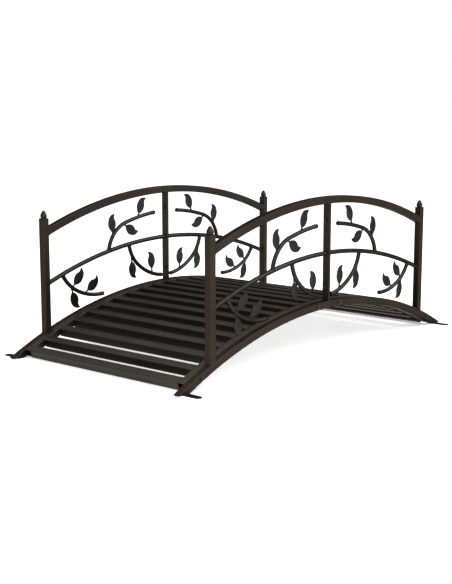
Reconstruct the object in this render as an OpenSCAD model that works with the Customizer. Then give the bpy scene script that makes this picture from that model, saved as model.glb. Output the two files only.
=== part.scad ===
// Arched steel garden bridge with vine railings.
// X runs along the walkway, Y across it, Z up; the origin is on the floor under the middle.
// Every railing piece is drawn for the far left quarter and mirrored to the other three.

/* [Frame] */
// Distance from the middle to the centre of a corner post
post_x = 600; // [560:5:640]
// Distance from the middle to the centre plane of a railing
rail_y = 377; // [320:1:420]
// Side of the square tube of the posts, top rails and beams
tube = 25; // [22:0.5:28]
// Wall of the square tube
wall = 1.2; // [1:0.1:2]
// Radius of the outer corners of the tubes and slats
corner_r = 2.4; // [2.2:0.2:4]
// Gap between the two halves of a top rail or beam at the crown
seam = 0.8; // [0.4:0.2:2]

/* [Arch] */
// Height of the top of the side beams at the crown
beam_top = 187; // [175:1:200]
// Radius of the top of the side beams
beam_r = 1650; // [1550:5:1800]
// Radius of the top and middle rails
rail_r = 1600; // [1500:5:1800]
// Height of the centre of the top rail at the crown
top_rail_z = 531; // [520:1:545]
// Height of the centre of the middle rail at the crown
mid_rail_z = 350.5; // [345:0.5:356]

/* [Railing] */
// Rise of a corner post above the centre of the top rail that meets it
post_rise = 44; // [30:1:60]
// Diameter of the middle rail
rod_d = 16; // [15:0.5:18]
// Thickness of each of the two straps that meet at the crown
strap_t = 5; // [3:0.5:8]
// Thickness of the cap on a post
cap_t = 2; // [1:0.5:4]
// Height of a finial above its cap
finial_h = 25; // [18:1:35]
// Largest diameter of a finial
finial_d = 19; // [14:0.5:22]

/* [Vines] */
// Diameter of the vine branches
vine_d = 14.5; // [12:0.5:15]
// How much the bead at the knee and tip of a branch is thicker than the branch
bead = 0.8; // [0.4:0.2:2]
// Width of a leaf
leaf_w = 37; // [30:1:40]
// Thickness of a leaf along its middle
leaf_t = 3.8; // [3:0.2:6]
// How far the stem stands proud of each face of its leaf, as the midrib
rib = 0.5; // [0.2:0.1:1]
// Straight part of a leaf, from its stem to where its tip turns
leaf_straight = 43; // [36:1:46]
// Radius of the turn of a leaf tip
tip_r = 24; // [22:1:28]
// Angle through which a leaf tip turns
tip_turn = 75; // [50:5:85]

/* [Deck] */
// Slats in each half of the deck
slats = 11; // [9:1:12]
// Width of a slat
slat_w = 30; // [24:1:36]
// Depth of a slat
slat_h = 25; // [20:0.5:25]
// Wall of a slat
slat_wall = 1; // [0.8:0.1:2]
// Extra gap in line with the corner posts, before the last two slats
post_gap = 12; // [0:1:20]
// Height of the lowest edge of the deck above the floor
deck_clear = 5; // [4:0.5:15]

/* [Feet] */
// Width of a foot plate
foot_w = 25; // [20:1:30]
// Thickness of a foot plate
foot_t = 3; // [2:0.5:5]
// Reach of a foot plate outside its beam
foot_out = 58; // [45:1:70]
// Diameter of the hole in a foot plate
foot_hole = 8; // [6:0.5:10]
// Distance of a foot plate from the inner end of the beam's foot cut
foot_inset = 8; // [4:1:14]
// How much the thin end of a beam's foot cut is trimmed off
tip_trim = 2; // [1:0.5:4]

/* [Hidden] */
steel = [0.24, 0.22, 0.20];
leaf_steel = [0.21, 0.21, 0.19];
deck_steel = [0.22, 0.22, 0.22];

// Round faces of the big arches and of small rods
arch_fn = 720;
rod_fn = 48;

// Axes of the arches, as heights below the floor
beam_axis = beam_top - beam_r;
top_axis = top_rail_z - rail_r;
mid_axis = mid_rail_z - rail_r;

// Inner faces that the rails and the deck butt against
post_face = post_x - tube / 2;
post_top = top_axis + sqrt(pow(rail_r, 2) - pow(post_face, 2)) + post_rise;
beam_face = rail_y - tube / 2;
member_y = beam_face - tube / 2;
slat_len = 2 * (beam_face - tube);

// Angle at which the deck ends, and the even pitch of the slats up to there
deck_end = acos((deck_clear - beam_axis) / (beam_r - tube));
arc_mm = beam_r * PI / 180;
pitch = (deck_end * arc_mm - slat_w / 2 - post_gap) / (slats - 0.5);

// Foot plates stand under the inner part of the foot cut
foot_cut = sqrt(pow(beam_r - tube, 2) - pow(foot_t - beam_axis, 2));
foot_x = foot_cut + foot_inset + foot_w / 2;
beam_tip = sqrt(pow(beam_r, 2) - pow(foot_t - beam_axis, 2)) - tip_trim;
foot_hole_y = tube / 2 + foot_out - foot_w / 2;

// Length in which the bends of the branches and the places of the leaves are counted
spray = 100;

// Branches: [share of post_x, heading, first radius, first sweep, second radius, second sweep, turn]
// Headings are from the middle rail where the branch starts; radii are in sprays
upper_branch = [0.498, 71, 1.18, 66, 8.1, 10.5, -1];
inner_branch = [0.327, -88, 1.3, 40, 2.3, 33.5, 1];
outer_branch = [0.872, -81.5, 1.5, 34.4, 2.4, 30.5, 1];

// Leaves: [distance along the branch, heading, turn of the tip, bare stem], lengths in sprays
upper_leaves = [[0.57, 83, -1, 0.14], [2.03, 58, -1, 0.13], [1.26, -44, 1, 0.14]];
inner_leaves = [[0.35, -91, 1, 0.32], [1.8, 86, 1, 0.17]];
outer_leaves = [[0.7, 27, 1, 0.12], [1.34, 14.5, 1, 0.16], [0.62, -92, 1, 0.2]];

leaf_steps = 16;
big = 2 * beam_r;

side_names = ["near", "far"];
end_names = ["left", "right"];
quarter_parts = [
    "post", "finial", "top_rail", "mid_rail", "strap", "upper_vine", "inner_vine", "outer_vine",
    "beam", "foot"
];
NODES = concat(
    [for (s = side_names, e = end_names, p = quarter_parts) str(s, "_", e, "_", p)],
    [for (s = side_names) str(s, "_deck_member")],
    [for (e = end_names) str(e, "_slats")]
);
node = "all";

function wanted(name) = node == "all" || node == name;

// Point reached from p along an arc; turn is 1 to the left and -1 to the right
function on_arc(p, heading, r, sweep, turn) =
    p + turn * r * [sin(heading + turn * sweep) - sin(heading), cos(heading) - cos(heading + turn * sweep)];

// Places on a branch that starts at the origin
function branch_knee(b) = on_arc([0, 0], b[1], spray * b[2], b[3], b[6]);
function branch_end(b) = on_arc(branch_knee(b), b[1] + b[6] * b[3], spray * b[4], b[5], b[6]);
function branch_at(b, d) =
    let (first = b[2] * b[3] * PI / 180)
    d < first
        ? on_arc([0, 0], b[1], spray * b[2], d / b[2] * 180 / PI, b[6])
        : on_arc(branch_knee(b), b[1] + b[6] * b[3], spray * b[4], (d - first) / b[4] * 180 / PI, b[6]);

// Solid disc with its axis across the bridge
module disc(r, axis_z) {
    translate([0, 0, axis_z]) rotate([90, 0, 0]) cylinder(r = r, h = 3 * tube, center = true, $fn = arch_fn);
}

// Revolves a profile about an axis across the bridge, between two angles from +X
module revolve(from, to, fn) {
    rotate([90, 0, 0]) rotate(from) rotate_extrude(angle = to - from, $fn = fn) children();
}

module rounded(w, h, r) {
    square([w - 2 * r, h], center = true);
    square([w, h - 2 * r], center = true);
    for (x = [-1, 1], y = [-1, 1])
        translate([x * (w / 2 - r), y * (h / 2 - r)]) circle(r, $fn = rod_fn);
}

// Hollow section, its inner corners half as round as the outer ones
module section(w, h, t) {
    difference() {
        rounded(w, h, corner_r);
        rounded(w - 2 * t, h - 2 * t, corner_r / 2);
    }
}

module tube_profile() {
    section(tube, tube, wall);
}

// Left half of an arch, cut upright at x0 and at x1
module half_arch(r, axis_z, x0, x1) {
    intersection() {
        translate([0, 0, axis_z]) revolve(90, 120, arch_fn) translate([r, 0]) children();
        translate([x0, -tube, 0]) cube([x1 - x0, 2 * tube, big]);
    }
}

module corner_post() {
    color(steel) difference() {
        translate([-post_x, 0, 0]) linear_extrude(post_top) tube_profile();
        disc(beam_r, beam_axis);
    }
}

// Turned spear on a square cap
module finial() {
    r = finial_d / 2;
    color(steel) translate([-post_x, 0, post_top]) {
        linear_extrude(cap_t) rounded(tube, tube, corner_r);
        translate([0, 0, cap_t]) rotate_extrude($fn = rod_fn)
            polygon([
                [0, 0], [0.62 * r, 0], [0.45 * r, 0.12 * finial_h], [0.85 * r, 0.24 * finial_h],
                [r, 0.38 * finial_h], [0.85 * r, 0.54 * finial_h], [0.45 * r, 0.74 * finial_h],
                [0.22 * r, 0.88 * finial_h], [0, finial_h]
            ]);
    }
}

module top_rail() {
    color(steel) half_arch(rail_r, top_axis, -post_face, -seam / 2) tube_profile();
}

module mid_rail_rod(x0, x1) {
    half_arch(rail_r, mid_axis, x0, x1) circle(d = rod_d, $fn = rod_fn);
}

module mid_rail() {
    color(steel) mid_rail_rod(-post_face, -strap_t);
}

// Upright at the crown, from the beam to the underside of the top rail
module strap() {
    color(steel) intersection() {
        difference() {
            translate([-strap_t, -tube / 2, 0]) cube([strap_t, tube, big]);
            disc(beam_r, beam_axis);
        }
        disc(rail_r - tube / 2, top_axis);
    }
}

// One bend of a branch in the railing plane
module bend(p, heading, r, sweep, turn) {
    from = turn > 0 ? heading - 90 : heading + 90 - sweep;
    centre = p + turn * r * [-sin(heading), cos(heading)];
    translate([centre[0], 0, centre[1]]) revolve(from, from + sweep, arch_fn)
        translate([r, 0]) circle(d = vine_d, $fn = rod_fn);
}

// Bead on a branch, its poles on the line of the branch
module knot(p, heading) {
    translate([p[0], 0, p[1]]) rotate([0, 90 - heading, 0]) sphere(d = vine_d + bead, $fn = rod_fn);
}

// Middle line of a leaf, straight and then turning, with its heading
function leaf_line(s) =
    s < leaf_straight
        ? [s, 0, 0]
        : let (a = (s - leaf_straight) / tip_r * 180 / PI)
          [leaf_straight + tip_r * sin(a), tip_r * (1 - cos(a)), a];
function leaf_half(q) = leaf_w / 2 * pow(sin(180 * pow(q, 0.78)), 1.2);

// Leaf outline, growing along +X from the stem with its tip turned to +Y
module leaf_outline() {
    length = leaf_straight + tip_r * tip_turn * PI / 180;
    qs = [for (i = [0 : leaf_steps]) i / leaf_steps];
    function edge(q, way) =
        let (m = leaf_line(q * length), h = way * leaf_half(q))
        [m[0] - h * sin(m[2]), m[1] + h * cos(m[2])];
    polygon(concat([for (q = qs) edge(q, -1)], [for (i = [leaf_steps - 1 : -1 : 1]) edge(qs[i], 1)]));
}

// Leaf with both faces crowned about its middle line, on a stem that runs on as its midrib and dies away
module leaf(stem) {
    crown_r = 5 * leaf_w;
    stem_r = leaf_t / 2 + rib;
    rib_end = stem + 0.6 * leaf_straight;
    intersection() {
        linear_extrude(2 * leaf_t, center = true) translate([stem, 0]) leaf_outline();
        intersection_for (face = [-1, 1])
            translate([0, 0, face * (crown_r - leaf_t / 2)]) rotate([0, 90, 0])
                cylinder(r = crown_r, h = 8 * leaf_straight, center = true, $fn = arch_fn);
    }
    rotate([0, 90, 0]) {
        cylinder(r = stem_r, h = rib_end, $fn = rod_fn);
        translate([0, 0, rib_end])
            cylinder(r1 = stem_r, r2 = leaf_t / 4, h = leaf_straight / 2, $fn = rod_fn);
    }
}

// Stands children on the middle rail with +X along it, at a share of the way out to the post
module on_rail(share) {
    x = share * post_x;
    translate([-x, 0, mid_axis + sqrt(rail_r * rail_r - x * x)]) rotate([0, -asin(x / rail_r), 0]) children();
}

// Branch saddled on the middle rail, with its leaves
module vine(b, leaves) {
    difference() {
        on_rail(b[0]) {
            bend([0, 0], b[1], spray * b[2], b[3], b[6]);
            bend(branch_knee(b), b[1] + b[6] * b[3], spray * b[4], b[5], b[6]);
            knot(branch_knee(b), b[1] + b[6] * b[3]);
            knot(branch_end(b), b[1] + b[6] * (b[3] + b[5]));
            for (f = leaves) {
                p = branch_at(b, f[0]);
                translate([p[0], 0, p[1]]) rotate([90, -f[1], 0]) mirror([0, f[2] < 0 ? 1 : 0, 0])
                    leaf(spray * f[3]);
            }
        }
        mid_rail_rod(-post_face, 0);
    }
}

module upper_vine() {
    color(leaf_steel) vine(upper_branch, upper_leaves);
}

module inner_vine() {
    color(leaf_steel) vine(inner_branch, inner_leaves);
}

module outer_vine() {
    color(leaf_steel) vine(outer_branch, outer_leaves);
}

// Half of a side beam, cut level where it stands on its foot plate and blunt at the tip
module side_beam() {
    color(steel) intersection() {
        translate([0, 0, beam_axis]) revolve(90, 120, arch_fn)
            translate([beam_r - tube / 2, 0]) tube_profile();
        translate([-beam_tip, -tube, foot_t]) cube([beam_tip - seam / 2, 2 * tube, big]);
    }
}

module foot_plate() {
    color(steel) translate([-foot_x, 0, 0]) linear_extrude(foot_t) difference() {
        union() {
            translate([-foot_w / 2, -tube / 2]) square([foot_w, foot_hole_y + tube / 2]);
            translate([0, foot_hole_y]) circle(d = foot_w, $fn = rod_fn);
        }
        translate([0, foot_hole_y]) circle(d = foot_hole, $fn = rod_fn);
    }
}

// Arched side member of the deck, inside a beam
module deck_member() {
    color(deck_steel) translate([0, member_y, beam_axis])
        revolve(90 - deck_end, 90 + deck_end, arch_fn) translate([beam_r - tube / 2, 0]) tube_profile();
}

// Half of the slats, square tubes between the two side members
module slat_row() {
    color(deck_steel) for (k = [0 : slats - 1]) {
        along = (k + 0.5) * pitch + (k > slats - 3 ? post_gap : 0);
        translate([0, 0, beam_axis]) rotate([0, -along / arc_mm, 0]) translate([0, 0, beam_r - slat_h / 2])
            rotate([90, 0, 0]) linear_extrude(slat_len, center = true) section(slat_w, slat_h, slat_wall);
    }
}

module to_side(s) {
    mirror([0, s == 0 ? 1 : 0, 0]) children();
}

module to_end(e) {
    mirror([e == 1 ? 1 : 0, 0, 0]) children();
}

module quarter_part(part) {
    if (part == "post") corner_post();
    if (part == "finial") finial();
    if (part == "top_rail") top_rail();
    if (part == "mid_rail") mid_rail();
    if (part == "strap") strap();
    if (part == "upper_vine") upper_vine();
    if (part == "inner_vine") inner_vine();
    if (part == "outer_vine") outer_vine();
    if (part == "beam") side_beam();
    if (part == "foot") foot_plate();
}

for (s = [0, 1], e = [0, 1], part = quarter_parts)
    if (wanted(str(side_names[s], "_", end_names[e], "_", part)))
        to_side(s) to_end(e) translate([0, rail_y, 0]) quarter_part(part);
for (s = [0, 1])
    if (wanted(str(side_names[s], "_deck_member"))) to_side(s) deck_member();
for (e = [0, 1])
    if (wanted(str(end_names[e], "_slats"))) to_end(e) slat_row();
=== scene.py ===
import bpy
import bmesh
import math
from mathutils import Matrix, Vector


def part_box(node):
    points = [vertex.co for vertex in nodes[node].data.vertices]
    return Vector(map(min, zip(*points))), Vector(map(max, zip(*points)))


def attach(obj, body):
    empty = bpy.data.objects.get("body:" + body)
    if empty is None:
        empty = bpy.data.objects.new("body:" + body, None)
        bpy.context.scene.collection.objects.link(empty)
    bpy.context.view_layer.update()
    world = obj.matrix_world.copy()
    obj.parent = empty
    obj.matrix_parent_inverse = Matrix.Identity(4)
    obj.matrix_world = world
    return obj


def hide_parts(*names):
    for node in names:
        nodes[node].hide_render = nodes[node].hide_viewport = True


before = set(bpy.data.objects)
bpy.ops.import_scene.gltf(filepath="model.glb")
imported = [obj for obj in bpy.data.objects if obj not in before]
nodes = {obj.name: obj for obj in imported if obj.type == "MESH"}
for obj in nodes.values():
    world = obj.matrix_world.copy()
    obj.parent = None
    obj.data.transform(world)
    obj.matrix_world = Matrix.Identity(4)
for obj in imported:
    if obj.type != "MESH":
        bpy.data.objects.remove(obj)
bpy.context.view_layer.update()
print("frame:", len(nodes), "nodes")

sides = {"near": -1, "far": 1}
ends = {"left": -1, "right": 1}

# the shapes that the small pieces sit on, in metres
bridge = {
    "beamTop": 0.187,
    "beamRadius": 1.650,
    "railRadius": 1.600,
    "topRail": 0.531,
    "midRail": 0.3505,
    "rod": 0.016,
    "branch": 0.0145,
    "tube": 0.025,
    "postX": 0.600,
    "railY": 0.377,
    "strap": 0.005,
    "plate": 0.003,
}
halfTube = bridge["tube"] / 2
tiny = 1e-6
latheSteps = 28

# angle past which an edge stays sharp, in degrees
creases = {"bolt": 35, "tube": 40, "finial": 50, "rib": 60, "weld": 80}

cameraSpot = {
    "place": (-3.0732, -2.5485, 0.8457),
    "yaw": 40.46,  # degrees from +X towards +Y
    "down": 9.54,
    "lens": 68.62,
    "sensor": 36,
}


def makeCamera(spot):
    data = bpy.data.cameras.new("photoCamera")
    data.lens = spot["lens"]
    data.sensor_width = spot["sensor"]
    data.clip_end = 100
    cam = bpy.data.objects.new("photoCamera", data)
    bpy.context.scene.collection.objects.link(cam)
    yaw, down = math.radians(spot["yaw"]), math.radians(spot["down"])
    look = Vector((math.cos(yaw) * math.cos(down), math.sin(yaw) * math.cos(down), -math.sin(down)))
    cam.location = spot["place"]
    cam.rotation_euler = look.to_track_quat("-Z", "Y").to_euler()
    bpy.context.scene.camera = cam


class Wire:
    # one output socket; sums on it add Math nodes
    def __init__(self, finish, socket):
        self.finish = finish
        self.socket = socket

    def maths(self, operation, first, second):
        return self.finish.add("ShaderNodeMath", {"operation": operation}, {0: first, 1: second})

    def __add__(self, other):
        return self.maths("ADD", self, other)

    def __radd__(self, other):
        return self.maths("ADD", other, self)

    def __sub__(self, other):
        return self.maths("SUBTRACT", self, other)

    def __rsub__(self, other):
        return self.maths("SUBTRACT", other, self)

    def __mul__(self, other):
        return self.maths("MULTIPLY", self, other)

    def __rmul__(self, other):
        return self.maths("MULTIPLY", other, self)


class Finish:
    edgeSamples = 6
    edgeBand = (0.02, 0.25)

    def __init__(self, name, fixed):
        self.material = bpy.data.materials.new(name)
        self.material.use_nodes = True
        self.tree = self.material.node_tree
        self.shader = self.tree.nodes["Principled BSDF"]
        for socket, value in fixed.items():
            self.shader.inputs[socket].default_value = value
        self.place = self.add("ShaderNodeTexCoord", out="Object")

    def add(self, kind, settings=None, sockets=None, out=0):
        node = self.tree.nodes.new(kind)
        for key, value in (settings or {}).items():
            if key == "stops":
                for stop, (where, shade) in zip(node.color_ramp.elements, value):
                    stop.position = where
                    stop.color = (shade, shade, shade, 1)
            else:
                setattr(node, key, value)
        for key, value in (sockets or {}).items():
            self.feed(node.inputs[key], value)
        return Wire(self, node.outputs[out])

    def feed(self, socket, value):
        if isinstance(value, Wire):
            self.tree.links.new(value.socket, socket)
        else:
            socket.default_value = value

    def noise(self, scale, detail=3):
        sockets = {"Vector": self.place, "Scale": scale, "Detail": detail}
        return self.add("ShaderNodeTexNoise", sockets=sockets)

    def band(self, value, low, high):
        return self.add("ShaderNodeValToRGB", {"stops": [(low, 0), (high, 1)]}, {0: value})

    def blend(self, mask, first, second):
        sockets = {"Factor": mask, 6: (*first, 1) if isinstance(first, tuple) else first, 7: (*second, 1)}
        return self.add("ShaderNodeMix", {"data_type": "RGBA"}, sockets, out=2)

    # 0 on flat faces, rising where the surface turns within the radius
    def edges(self, radius):
        soft = self.add("ShaderNodeBevel", {"samples": self.edgeSamples}, {"Radius": radius})
        flat = self.add("ShaderNodeNewGeometry", out="Normal")
        same = self.add("ShaderNodeVectorMath", {"operation": "DOT_PRODUCT"}, {0: soft, 1: flat}, out="Value")
        return self.band(1 - same, *self.edgeBand)

    def surface(self, wires):
        for name, wire in wires.items():
            self.feed(self.shader.inputs[name], wire)


# metallic bronze powder coat: cloudy tone, fine flecks, a slow ripple and grit, thinner along the edges;
# painted shade darkens the base colour in the recesses, which are also made duller
coats = {
    "frameCoat": {
        "tone": (0.0325, 0.0256, 0.0200), "cloud": (0.0262, 0.0207, 0.0163), "fleck": (0.066, 0.053, 0.042),
        "edge": (0.080, 0.064, 0.050), "paintedShade": (0.0085, 0.0066, 0.0052),
        "rough": 0.38, "bump": 0.00016, "rim": 0.30, "shadeBand": (0.35, 0.80), "alone": False,
    },
    "vineCoat": {
        "tone": (0.0290, 0.0262, 0.0232), "cloud": (0.0240, 0.0217, 0.0193), "fleck": (0.060, 0.055, 0.049),
        "edge": (0.070, 0.064, 0.057), "paintedShade": (0.0085, 0.0074, 0.0062),
        "rough": 0.24, "bump": 0.00005, "rim": 0.10, "shadeBand": (0.35, 0.80), "alone": False,
    },
    "deckCoat": {
        "tone": (0.0440, 0.0393, 0.0350), "cloud": (0.0353, 0.0316, 0.0282), "fleck": (0.076, 0.070, 0.063),
        # painted shade colour, nearly black, that darkens the gaps between the slats
        "edge": (0.080, 0.069, 0.059), "paintedShade": (0.0016, 0.0014, 0.0012),
        "rough": 0.38, "bump": 0.00016, "rim": 0.75, "shadeBand": (0.08, 0.30), "alone": True,
    },
}
sheen = {"Metallic": 0.85, "Specular IOR Level": 0.25}
rimTint = (1.0, 0.92, 0.84)
grain = {
    "cloud": {"scale": 7, "detail": 4, "band": (0.35, 0.70), "dull": 0.08},
    "flecks": {"scale": 900, "detail": 2, "band": (0.60, 0.72), "show": 0.4},
    "ripple": {"scale": 240, "detail": 2, "height": 0.6},
    "grit": {"scale": 1600, "detail": 2, "height": 0.4, "dull": 0.05},
    "thin": {"scale": 60, "detail": 3, "band": (0.30, 0.65), "radius": 0.0018, "show": 0.35},
    # painted shade mask: how far the AO looks, its samples, and how much rougher the shaded places get
    "paintedShade": {"reach": 0.05, "samples": 8, "dull": 0.20},
    "bump": 0.22,
}


def powderCoat(name, coat):
    rim = [coat["rim"] * tint for tint in rimTint]
    f = Finish(name, {**sheen, "Specular Tint": (*rim, 1)})
    cloud, flecks, ripple, grit = (f.noise(**pick(grain[k])) for k in ("cloud", "flecks", "ripple", "grit"))
    cloud = f.band(cloud, *grain["cloud"]["band"])
    flecks = f.band(flecks, *grain["flecks"]["band"])
    thin = f.edges(grain["thin"]["radius"]) * f.band(f.noise(**pick(grain["thin"])), *grain["thin"]["band"])
    search = {"samples": grain["paintedShade"]["samples"], "only_local": coat["alone"]}
    # painted shade: the AO mask marks places where other surfaces are close, as in corners and between slats
    clear = f.add("ShaderNodeAmbientOcclusion", search, {"Distance": grain["paintedShade"]["reach"]}, out="AO")
    paintedShade = f.band(1 - clear, *coat["shadeBand"])
    tone = f.blend(cloud, coat["tone"], coat["cloud"])
    tone = f.blend(flecks * grain["flecks"]["show"], tone, coat["fleck"])
    tone = f.blend(thin * grain["thin"]["show"], tone, coat["edge"])
    dull = [mask * grain[k]["dull"] for k, mask in (("cloud", cloud), ("grit", grit), ("paintedShade", paintedShade))]
    height = ripple * grain["ripple"]["height"] + grit * grain["grit"]["height"]
    bump = {"Strength": grain["bump"], "Distance": coat["bump"], "Height": height}
    f.surface({
        # painted shade blended into the base colour through the AO mask
        "Base Color": f.blend(paintedShade, tone, coat["paintedShade"]),
        "Roughness": coat["rough"] + dull[0] + dull[1] + dull[2],
        "Normal": f.add("ShaderNodeBump", None, bump),
    })
    return f.material


# what a noise takes from a row of the grain
def pick(row):
    return {"scale": row["scale"], "detail": row["detail"]}


boltTones = {
    "sheen": {"Specular IOR Level": 0.35, "Metallic": 0.25},
    "tone": (0.0050, 0.0044, 0.0038),
    "rub": (0.018, 0.015, 0.013),
    "edge": (0.040, 0.034, 0.029),
    "rubScale": 420,
    "rubBand": (0.55, 0.75),
    "show": 0.4,
    "edgeRadius": 0.0006,
    "rough": 0.36,
    "rubDull": 0.15,
    "bump": {"Strength": 0.2, "Distance": 0.0003},
    "bumpGrain": {"scale": 1500, "detail": 2},
}


def boltCoat(spec):
    f = Finish("boltCoat", spec["sheen"])
    rub = f.band(f.noise(spec["rubScale"]), *spec["rubBand"])
    thin = f.edges(spec["edgeRadius"])
    tone = f.blend(rub * spec["show"], spec["tone"], spec["rub"])
    f.surface({
        "Base Color": f.blend(thin * spec["show"], tone, spec["edge"]),
        "Roughness": spec["rough"] + rub * spec["rubDull"],
        "Normal": f.add("ShaderNodeBump", None, {**spec["bump"], "Height": f.noise(**spec["bumpGrain"])}),
    })
    return f.material


def coatNodes():
    for name, node in nodes.items():
        if "vine" in name or "mid_rail" in name:
            finish = finishes["vineCoat"]
        elif "deck" in name or "slats" in name:
            finish = finishes["deckCoat"]
        else:
            finish = finishes["frameCoat"]
        node.data.materials.clear()
        node.data.materials.append(finish)


def keep(name, bm, finish, crease, node=None):
    bmesh.ops.remove_doubles(bm, verts=bm.verts, dist=tiny)
    bmesh.ops.recalc_face_normals(bm, faces=bm.faces)
    mesh = bpy.data.meshes.new(name)
    bm.to_mesh(mesh)
    bm.free()
    piece = bpy.data.objects.new(name, mesh)
    bpy.context.scene.collection.objects.link(piece)
    mesh.materials.append(finishes[finish])
    mesh.shade_smooth()
    mesh.set_sharp_from_angle(angle=math.radians(creases[crease]))
    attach(piece, "root")
    if node:
        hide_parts(node)
    print(name, len(mesh.polygons), "faces")


def along(direction, place):
    turn = Vector((0, 0, 1)).rotation_difference(Vector(direction)).to_matrix().to_4x4()
    return Matrix.Translation(place) @ turn


def lathe(bm, profile, where, steps=latheSteps):
    before = set(bm.verts)
    ring = [bm.verts.new((r, 0, h)) for r, h in profile]
    rim = [bm.edges.new(pair) for pair in zip(ring, ring[1:])]
    bmesh.ops.spin(
        bm, geom=ring + rim, cent=(0, 0, 0), axis=(0, 0, 1), angle=2 * math.pi, steps=steps, use_merge=True
    )
    place(bm, before, where)


def soften(bm, edges, offset, segments):
    bmesh.ops.bevel(
        bm, geom=edges, offset=offset, segments=segments, profile=0.5, affect="EDGES", material=-1
    )


# moves what was made since the vertices before
def place(bm, before, where):
    bmesh.ops.transform(bm, matrix=where, verts=[v for v in bm.verts if v not in before])


hexChamfer = {"size": 0.0004, "segments": 2}


def hexPrism(bm, flat, low, high, where):
    before = set(bm.verts)
    r = flat / math.sqrt(3)
    made = bmesh.ops.create_cone(
        bm, cap_ends=True, segments=6, radius1=r, radius2=r, depth=high - low,
        matrix=Matrix.Translation((0, 0, (low + high) / 2)),
    )
    edges = {e for v in made["verts"] for e in v.link_edges}
    soften(bm, list(edges), hexChamfer["size"], hexChamfer["segments"])
    place(bm, before, where)


# a flat ring, its outer edge worn over the upper part of the thickness
def washer(bm, r, t, where):
    worn = 0.3 * t
    lathe(bm, [(0.0, 0.0), (r, 0.0), (r, t - worn), (r - worn, t), (0.0, t)], where)


def archHeight(radius, top, x, depth=0.0):
    return top - radius + math.sqrt((radius - depth) ** 2 - x * x)


def beamHeight(x, depth=0.0):
    return archHeight(bridge["beamRadius"], bridge["beamTop"], x, depth)


# button head bolts through the beams, with nuts inside the deck members
beamBolts = {
    "x": (0.063, 0.654),
    "head": 0.0072,
    "height": 0.0042,
    "washer": 0.0088,
    "washerThick": 0.0012,
    "domeSteps": 7,
    "domePower": 0.55,  # below 1 makes the dome fuller than round
    "socket": 0.0026,
    "socketRim": 0.00299,
    "socketEdge": 0.0003,
    "socketDeep": 0.0022,
    "nut": 0.010,
    "nutTall": 0.0050,
    "shank": 0.0030,
    "shankOut": 0.0025,
    "shankLow": 0.001,
    "shankSoft": 0.0006,
    "shankSteps": 16,
}


def buttonBolt(bm, spec, where):
    t, h = spec["washerThick"], spec["height"]
    washer(bm, spec["washer"], t, where)
    dome = [(0.0, t), (spec["head"], t)]
    for k in range(1, spec["domeSteps"]):
        a = math.radians(90 * k / spec["domeSteps"])
        dome.append((spec["head"] * math.cos(a) ** spec["domePower"], t + h * math.sin(a)))
    r, floor = spec["socket"], t + h - spec["socketDeep"]
    dome += [(spec["socketRim"], t + h), (r, t + h - spec["socketEdge"]), (r, floor), (0.0, floor)]
    lathe(bm, dome, where)


def plainNut(bm, spec, where):
    high, r, low, soft = spec["nutTall"], spec["shank"], spec["shankLow"], spec["shankSoft"]
    tip = high + spec["shankOut"]
    hexPrism(bm, spec["nut"], 0.0, high, where)
    lathe(bm, [(0.0, low), (r, low), (r, tip - soft), (r - soft, tip), (0.0, tip)], where, spec["shankSteps"])


def makeBeamBolts():
    for side, s in sides.items():
        outer = s * (bridge["railY"] + halfTube)
        inner = s * (bridge["railY"] - 3 * halfTube)
        bm = bmesh.new()
        for e in ends.values():
            for x in beamBolts["x"]:
                z = beamHeight(x, halfTube)
                buttonBolt(bm, beamBolts, along((0, s, 0), (e * x, outer, z)))
                plainNut(bm, beamBolts, along((0, -s, 0), (e * x, inner, z)))
        keep(side + "BeamBolts", bm, "boltCoat", "bolt")


# cap nuts and bolt heads that draw the two crown straps of a railing together
strapBolts = {
    "z": (0.232, 0.461),
    "flat": 0.010,
    "hexTall": 0.0045,
    "dome": 0.0045,
    "domeTall": 0.0055,
    "domeSink": 0.0002,
    "domeSteps": 8,
    "washer": 0.0065,
    "washerThick": 0.0012,
}


def strapWasher(bm, spec, where):
    t = spec["washerThick"]
    washer(bm, spec["washer"], t, where)
    hexPrism(bm, spec["flat"], t, t + spec["hexTall"], where)


def capNut(bm, spec, where):
    strapWasher(bm, spec, where)
    base = spec["washerThick"] + spec["hexTall"] - spec["domeSink"]
    dome = [(0.0, base), (spec["dome"], base)]
    for k in range(1, spec["domeSteps"]):
        a = math.radians(90 * k / spec["domeSteps"])
        dome.append((spec["dome"] * math.cos(a), base + spec["domeTall"] * math.sin(a)))
    dome.append((0.0, base + spec["domeTall"]))
    lathe(bm, dome, where)


def makeStrapBolts():
    for side, s in sides.items():
        y = s * bridge["railY"]
        bm = bmesh.new()
        for z in strapBolts["z"]:
            capNut(bm, strapBolts, along((-1, 0, 0), (-bridge["strap"], y, z)))
            strapWasher(bm, strapBolts, along((1, 0, 0), (bridge["strap"], y, z)))
        keep(side + "StrapBolts", bm, "boltCoat", "bolt")


# turned buds on square caps
finials = {
    "cap": 0.025,
    "capTall": 0.002,
    "capCorner": 0.0024,
    "cornerSegments": 5,
    "capEdge": 0.0005,
    "edgeSegments": 2,
    "steps": 36,
    "tall": 0.0265,
    "bud": (  # radius and height as shares of the whole height
        (0.00, 0.00), (0.34, 0.00), (0.365, 0.02), (0.365, 0.05), (0.35, 0.07), (0.40, 0.11), (0.43, 0.17),
        (0.44, 0.25), (0.43, 0.34), (0.40, 0.45), (0.355, 0.56), (0.305, 0.67), (0.255, 0.77), (0.205, 0.86),
        (0.15, 0.93), (0.10, 0.97), (0.05, 0.993), (0.00, 1.00),
    ),
}


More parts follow.
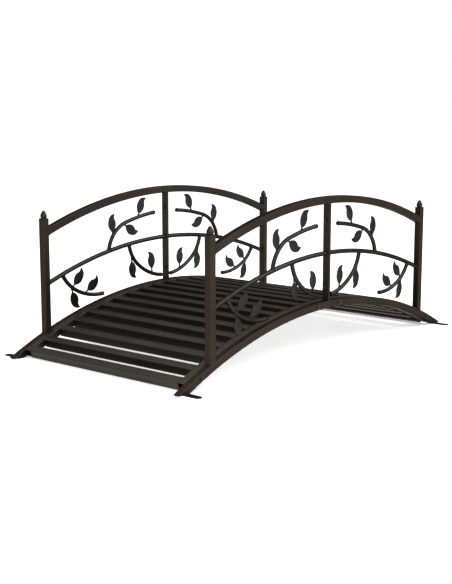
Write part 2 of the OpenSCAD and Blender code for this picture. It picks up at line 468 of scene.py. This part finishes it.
def squareCap(bm, spec, where):
    before = set(bm.verts)
    size = (spec["cap"], spec["cap"], spec["capTall"])
    shape = Matrix.Translation((0, 0, size[2] / 2)) @ Matrix.Diagonal((*size, 1))
    bmesh.ops.create_cube(bm, size=1, matrix=shape)
    edges = {e for v in bm.verts if v not in before for e in v.link_edges}
    upright = [e for e in edges if abs(e.verts[0].co.z - e.verts[1].co.z) > tiny]
    soften(bm, upright, spec["capCorner"], spec["cornerSegments"])
    edges = {e for v in bm.verts if v not in before for e in v.link_edges}
    rim = [e for e in edges if min(v.co.z for v in e.verts) > size[2] - tiny]
    soften(bm, rim, spec["capEdge"], spec["edgeSegments"])
    place(bm, before, where)


def makeFinials():
    for side in sides:
        for end in ends:
            node = side + "_" + end + "_finial"
            low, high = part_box(node)
            middle = (low + high) / 2
            bm = bmesh.new()
            squareCap(bm, finials, Matrix.Translation((middle.x, middle.y, low.z)))
            bud = [(r * finials["tall"], h * finials["tall"]) for r, h in finials["bud"]]
            seat = Matrix.Translation((middle.x, middle.y, low.z + finials["capTall"]))
            lathe(bm, bud, seat, finials["steps"])
            keep(side + end.capitalize() + "Finial", bm, "vineCoat", "finial", node)


# the branches and leaves of one quarter, and the ribs and caps put on them
vines = {
    # share of the way to the post, heading, first radius, sweep, second radius, sweep, turn
    "branches": {
        "upper": (0.498, 71, 0.118, 66, 0.810, 10.5, -1),
        "inner": (0.327, -88, 0.130, 40, 0.230, 33.5, 1),
        "outer": (0.872, -81.5, 0.150, 34.4, 0.240, 30.5, 1),
    },
    # distance along the branch, heading, turn of the tip, bare stem
    "leaves": {
        "upper": ((0.057, 83, -1, 0.014), (0.203, 58, -1, 0.013), (0.126, -44, 1, 0.014)),
        "inner": ((0.035, -91, 1, 0.032), (0.180, 86, 1, 0.017)),
        "outer": ((0.070, 27, 1, 0.012), (0.134, 14.5, 1, 0.016), (0.062, -92, 1, 0.020)),
    },
    "straight": 0.043,
    "tipRadius": 0.024,
    "tipTurn": 75,
    "ribRoot": 0.0036,
    "ribBlade": 0.0030,
    "ribTip": 0.0012,
    "ribReach": 0.90,  # share of the leaf that the rib runs up
    "ribSteps": 12,
    "ribPower": 1.6,  # above 1 keeps the rib thick for longer
    "ribSides": 10,
    "ribLap": 1.06,
    "endCap": 0.0077,
    "endBack": 0.004,
    "endRound": 0.0008,
    "endSteps": 24,
}


def onArc(start, heading, radius, sweep, turn):
    a, b = math.radians(heading), math.radians(heading + turn * sweep)
    return start + turn * radius * Vector((math.sin(b) - math.sin(a), math.cos(a) - math.cos(b)))


def branchPoint(branch, distance):
    heading, r1, sweep1, r2, _, turn = branch[1:]
    first = r1 * math.radians(sweep1)
    if distance < first:
        return onArc(Vector((0, 0)), heading, r1, math.degrees(distance / r1), turn)
    knee = onArc(Vector((0, 0)), heading, r1, sweep1, turn)
    return onArc(knee, heading + turn * sweep1, r2, math.degrees((distance - first) / r2), turn)


def unitVector(heading):
    return Vector((math.cos(math.radians(heading)), math.sin(math.radians(heading))))


# a point in the axes of the middle rail, set in the railing of one end
def onRail(share, flat, e, y):
    x = share * bridge["postX"]
    slope = math.asin(x / bridge["railRadius"])
    px = -x + flat.x * math.cos(slope) - flat.y * math.sin(slope)
    pz = flat.x * math.sin(slope) + flat.y * math.cos(slope)
    return Vector((-e * px, y, archHeight(bridge["railRadius"], bridge["midRail"], x) + pz))


# middle line of a leaf with the radius of its rib
def leafRib(branch, leaf):
    distance, heading, turn, stem = leaf
    straight, bend = vines["straight"], vines["tipRadius"]
    thick, thin = vines["ribBlade"], vines["ribTip"]
    root = branchPoint(branch, distance)
    ahead = unitVector(heading)
    base = root + ahead * stem
    knee = base + ahead * straight
    line = [(root, vines["ribRoot"]), (base, thick)]
    reach = (straight + bend * math.radians(vines["tipTurn"])) * vines["ribReach"]
    for k in range(1, vines["ribSteps"] + 1):
        share = k / vines["ribSteps"]
        s = reach * k / vines["ribSteps"]
        if s < straight:
            spot = base + ahead * s
        else:
            spot = onArc(knee, heading, bend, math.degrees((s - straight) / bend), turn)
        line.append((spot, thick + (thin - thick) * share ** vines["ribPower"]))
    return line


# round ribs that run from the branches up the middle of the leaves
def makeLeafRibs():
    for side, s in sides.items():
        y = s * bridge["railY"]
        bm = bmesh.new()
        for e in ends.values():
            for name, branch in vines["branches"].items():
                for leaf in vines["leaves"][name]:
                    line = [(onRail(branch[0], p, e, y), r) for p, r in leafRib(branch, leaf)]
                    for (p, r1), (q, r2) in zip(line, line[1:]):
                        step = q - p
                        bmesh.ops.create_cone(
                            bm, cap_ends=True, segments=vines["ribSides"], radius1=r1, radius2=r2,
                            depth=step.length * vines["ribLap"], matrix=along(step, (p + q) / 2),
                        )
        keep(side + "LeafRibs", bm, "vineCoat", "rib")


# flat caps on the ends of the branches
def makeBranchEnds():
    r, back, soft = vines["endCap"], vines["endBack"], vines["endRound"]
    tall = back + r
    nick = soft * 0.3
    profile = [(0, 0), (r, 0), (r, tall - soft), (r - nick, tall - nick), (r - soft, tall), (0, tall)]
    for side, s in sides.items():
        y = s * bridge["railY"]
        bm = bmesh.new()
        for e in ends.values():
            for branch in vines["branches"].values():
                share, heading, r1, sweep1, r2, sweep2, turn = branch
                tip = branchPoint(branch, r1 * math.radians(sweep1) + r2 * math.radians(sweep2))
                ahead = unitVector(heading + turn * (sweep1 + sweep2))
                start = onRail(share, tip - ahead * back, e, y)
                lathe(bm, profile, along(onRail(share, tip, e, y) - start, start), vines["endSteps"])
        keep(side + "BranchEnds", bm, "vineCoat", "tube")


# square tubes across the deck
slats = {
    "perHalf": 11,
    "wide": 0.030,
    "deep": 0.030,
    "corner": 0.0024,
    "cornerSegments": 4,
    "clear": 0.005,  # from the floor to the end of the deck members
    "postGap": 0.0060,  # more room before the last two
}
slatReach = bridge["railY"] - 3 * halfTube


def slatAngles():
    r, count, gap = bridge["beamRadius"], slats["perHalf"], slats["postGap"]
    deckEnd = math.acos((slats["clear"] - bridge["beamTop"] + r) / (r - bridge["tube"]))
    pitch = (deckEnd * r - slats["wide"] / 2 - gap) / (count - 0.5)
    return [((k + 0.5) * pitch + (gap if k > count - 3 else 0)) / r for k in range(count)]


# the middle of a slat's top, with Z out of the arch
def slatSpot(e, angle):
    r = bridge["beamRadius"]
    axis = Matrix.Translation((0, 0, bridge["beamTop"] - r))
    return axis @ Matrix.Rotation(e * angle, 4, "Y") @ Matrix.Translation((0, 0, r))


def makeSlats():
    size = (slats["wide"], 2 * slatReach, slats["deep"])
    shape = Matrix.Translation((0, 0, -slats["deep"] / 2)) @ Matrix.Diagonal((*size, 1))
    for end, e in ends.items():
        bm = bmesh.new()
        for angle in slatAngles():
            before = set(bm.verts)
            made = bmesh.ops.create_cube(bm, size=1, matrix=shape)
            edges = {edge for v in made["verts"] for edge in v.link_edges}
            lengthwise = [edge for edge in edges if edge.calc_length() > slatReach]
            soften(bm, lengthwise, slats["corner"], slats["cornerSegments"])
            place(bm, before, slatSpot(e, angle))
        keep(end + "Slats", bm, "deckCoat", "tube", end + "_slats")


# weld beads: rows of overlapping drops along the joints
welds = {
    "tubeDrop": 0.0019,
    "rodDrop": 0.0017,
    "slatDrop": 0.0015,
    "lap": 0.95,  # step from drop to drop, in drop radii
    "stretch": 1.25,
    "around": 7,
    "rings": 4,
    "ringSteps": 24,
    "slatSpan": (0.15, 0.85),  # where a slat's bead starts and ends, as shares of its depth
}


def beadAlong(bm, points, drop):
    row = bmesh.new()
    shape = Matrix.Diagonal((1, 1, welds["stretch"], 1))
    left = 0.0
    for p, q in zip(points, points[1:]):
        step = q - p
        if step.length == 0:
            continue
        while left < step.length:
            spot = along(step, p + step * (left / step.length))
            bmesh.ops.create_uvsphere(
                row, u_segments=welds["around"], v_segments=welds["rings"], radius=drop, matrix=spot @ shape
            )
            left += drop * welds["lap"]
        left -= step.length
    mesh = bpy.data.meshes.new("weldRow")
    row.to_mesh(mesh)
    row.free()
    bm.from_mesh(mesh)
    bpy.data.meshes.remove(mesh)


def across(x, y, z):
    reach = halfTube - welds["tubeDrop"]
    return [Vector((x, y - reach, z)), Vector((x, y + reach, z))]


def fullTurn():
    return [math.tau * k / welds["ringSteps"] for k in range(welds["ringSteps"] + 1)]


# closed line where a rod that leans by slope meets an upright plane
def rodRing(x, y, z, slope, r):
    return [Vector((x, y + r * math.sin(a), z + r * math.cos(a) / math.cos(slope))) for a in fullTurn()]


# closed line where a branch with this heading stands on the middle rail
def saddleRing(e, y, share, heading):
    railR, r = bridge["rod"] / 2, bridge["branch"] / 2
    lean = math.radians(heading)
    ring = []
    for a in fullTurn():
        side = r * math.cos(a)
        # up the branch from the rail's middle to the rail's skin
        skin = math.copysign(math.sqrt(railR ** 2 - (r * math.sin(a)) ** 2), heading)
        reach = (skin - side * math.cos(lean)) / math.sin(lean)
        flat = Vector((reach * math.cos(lean) - side * math.sin(lean), skin))
        ring.append(onRail(share, flat, e, y + r * math.sin(a)))
    return ring


def makeRailWelds():
    postFace = bridge["postX"] - halfTube
    rodSlope = math.asin(postFace / bridge["railRadius"])
    topSlope = halfTube / math.cos(rodSlope)
    for side, s in sides.items():
        y = s * bridge["railY"]
        bm = bmesh.new()
        for e in ends.values():
            for x in (postFace, bridge["postX"] + halfTube):
                beadAlong(bm, across(e * x, y, beamHeight(x)), welds["tubeDrop"])
            rail = archHeight(bridge["railRadius"], bridge["topRail"], postFace)
            for z in (rail - topSlope, rail + topSlope):
                beadAlong(bm, across(e * postFace, y, z), welds["tubeDrop"])
            under = archHeight(bridge["railRadius"], bridge["topRail"], bridge["strap"], halfTube)
            for z in (beamHeight(bridge["strap"]), under):
                beadAlong(bm, across(e * bridge["strap"], y, z), welds["tubeDrop"])
            for x, slope in ((postFace, rodSlope), (bridge["strap"], 0.0)):
                z = archHeight(bridge["railRadius"], bridge["midRail"], x)
                beadAlong(bm, rodRing(e * x, y, z, slope, bridge["rod"] / 2), welds["rodDrop"])
        keep(side + "RailWelds", bm, "frameCoat", "weld")


def makeVineWelds():
    for side, s in sides.items():
        bm = bmesh.new()
        for e in ends.values():
            for branch in vines["branches"].values():
                beadAlong(bm, saddleRing(e, s * bridge["railY"], *branch[:2]), welds["rodDrop"])
        keep(side + "VineWelds", bm, "vineCoat", "weld")


# short beads down both sides of each slat's ends
def makeSlatWelds():
    wide, deep = slats["wide"], slats["deep"]
    for end, e in ends.items():
        bm = bmesh.new()
        for angle in slatAngles():
            spot = slatSpot(e, angle)
            for s in sides.values():
                for half in (-wide / 2, wide / 2):
                    line = [spot @ Vector((half, s * slatReach, -d * deep)) for d in welds["slatSpan"]]
                    beadAlong(bm, line, welds["slatDrop"])
        keep(end + "SlatWelds", bm, "deckCoat", "weld")


def makeFootWelds():
    bm = bmesh.new()
    for side, s in sides.items():
        for end in ends:
            low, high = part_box(side + "_" + end + "_foot")
            y = s * (bridge["railY"] + halfTube)
            reach = [low.x + welds["tubeDrop"], high.x - welds["tubeDrop"]]
            beadAlong(bm, [Vector((x, y, bridge["plate"])) for x in reach], welds["tubeDrop"])
    keep("footWelds", bm, "frameCoat", "weld")


# soft boxes round the bridge, and a pale floor
studio = {
    "floor": (0.93, 0.93, 0.93),
    "floorRough": 0.9,
    "glow": 0.34,  # lifts the shadow under the arch
    "floorHalf": 30,
    "backdrop": 1.0,  # what the camera sees behind the bridge
    "fill": 0.16,  # what lights the bridge from there
    "aim": (0, 0, 0.25),
    "lamps": {
        "keyLamp": {"place": (-3.3, -3.3, 2.6), "size": 1.8, "watts": 60},
        "frontLamp": {"place": (1.0, -4.3, 2.6), "size": 3.0, "watts": 110},
        "leftLamp": {"place": (-4.8, -0.4, 2.4), "size": 2.4, "watts": 40},
        "rodLamp": {"place": (3.0, -2.5, 2.7), "size": 2.6, "watts": 105},
    },
    "sky": {"spread": 96, "strength": 2.8},  # a broad even light from straight above
}


def makeFloor(spec):
    bm = bmesh.new()
    bmesh.ops.create_grid(bm, x_segments=1, y_segments=1, size=spec["floorHalf"])
    mesh = bpy.data.meshes.new("studioFloor")
    bm.to_mesh(mesh)
    bm.free()
    floor = bpy.data.objects.new("studioFloor", mesh)
    bpy.context.scene.collection.objects.link(floor)
    f = Finish("floorPaint", {
        "Base Color": (*spec["floor"], 1),
        "Roughness": spec["floorRough"],
        "Specular IOR Level": 0.0,
        "Emission Color": (1, 1, 1, 1),
        "Emission Strength": spec["glow"],
    })
    mesh.materials.append(f.material)


def makeBackdrop(spec):
    world = bpy.data.worlds.new("studioWorld")
    world.use_nodes = True
    tree = world.node_tree
    back = tree.nodes["Background"]
    back.inputs["Color"].default_value = (1, 1, 1, 1)
    seen = tree.nodes.new("ShaderNodeLightPath")
    level = tree.nodes.new("ShaderNodeMapRange")
    level.inputs["To Min"].default_value = spec["fill"]
    level.inputs["To Max"].default_value = spec["backdrop"]
    tree.links.new(seen.outputs["Is Camera Ray"], level.inputs["Value"])
    tree.links.new(level.outputs["Result"], back.inputs["Strength"])
    bpy.context.scene.world = world


def makeLamps(spec):
    for name, lamp in spec["lamps"].items():
        data = bpy.data.lights.new(name, "AREA")
        data.shape = "DISK"
        data.size = lamp["size"]
        data.energy = lamp["watts"]
        light = bpy.data.objects.new(name, data)
        light.location = lamp["place"]
        aim = Vector(spec["aim"]) - Vector(lamp["place"])
        light.rotation_euler = aim.to_track_quat("-Z", "Y").to_euler()
        bpy.context.scene.collection.objects.link(light)
    data = bpy.data.lights.new("skyLamp", "SUN")
    data.energy = spec["sky"]["strength"]
    data.angle = math.radians(spec["sky"]["spread"])
    bpy.context.scene.collection.objects.link(bpy.data.objects.new("skyLamp", data))


def makeStudio(spec):
    makeFloor(spec)
    makeBackdrop(spec)
    makeLamps(spec)
    bpy.context.scene.view_settings.view_transform = "Standard"
    print("studio made")


makeCamera(cameraSpot)
finishes = {name: powderCoat(name, coat) for name, coat in coats.items()}
finishes["boltCoat"] = boltCoat(boltTones)
coatNodes()
makeBeamBolts()
makeStrapBolts()
makeFinials()
makeLeafRibs()
makeBranchEnds()
makeSlats()
makeRailWelds()
makeVineWelds()
makeSlatWelds()
makeFootWelds()
makeStudio(studio)

print("pieces ready")
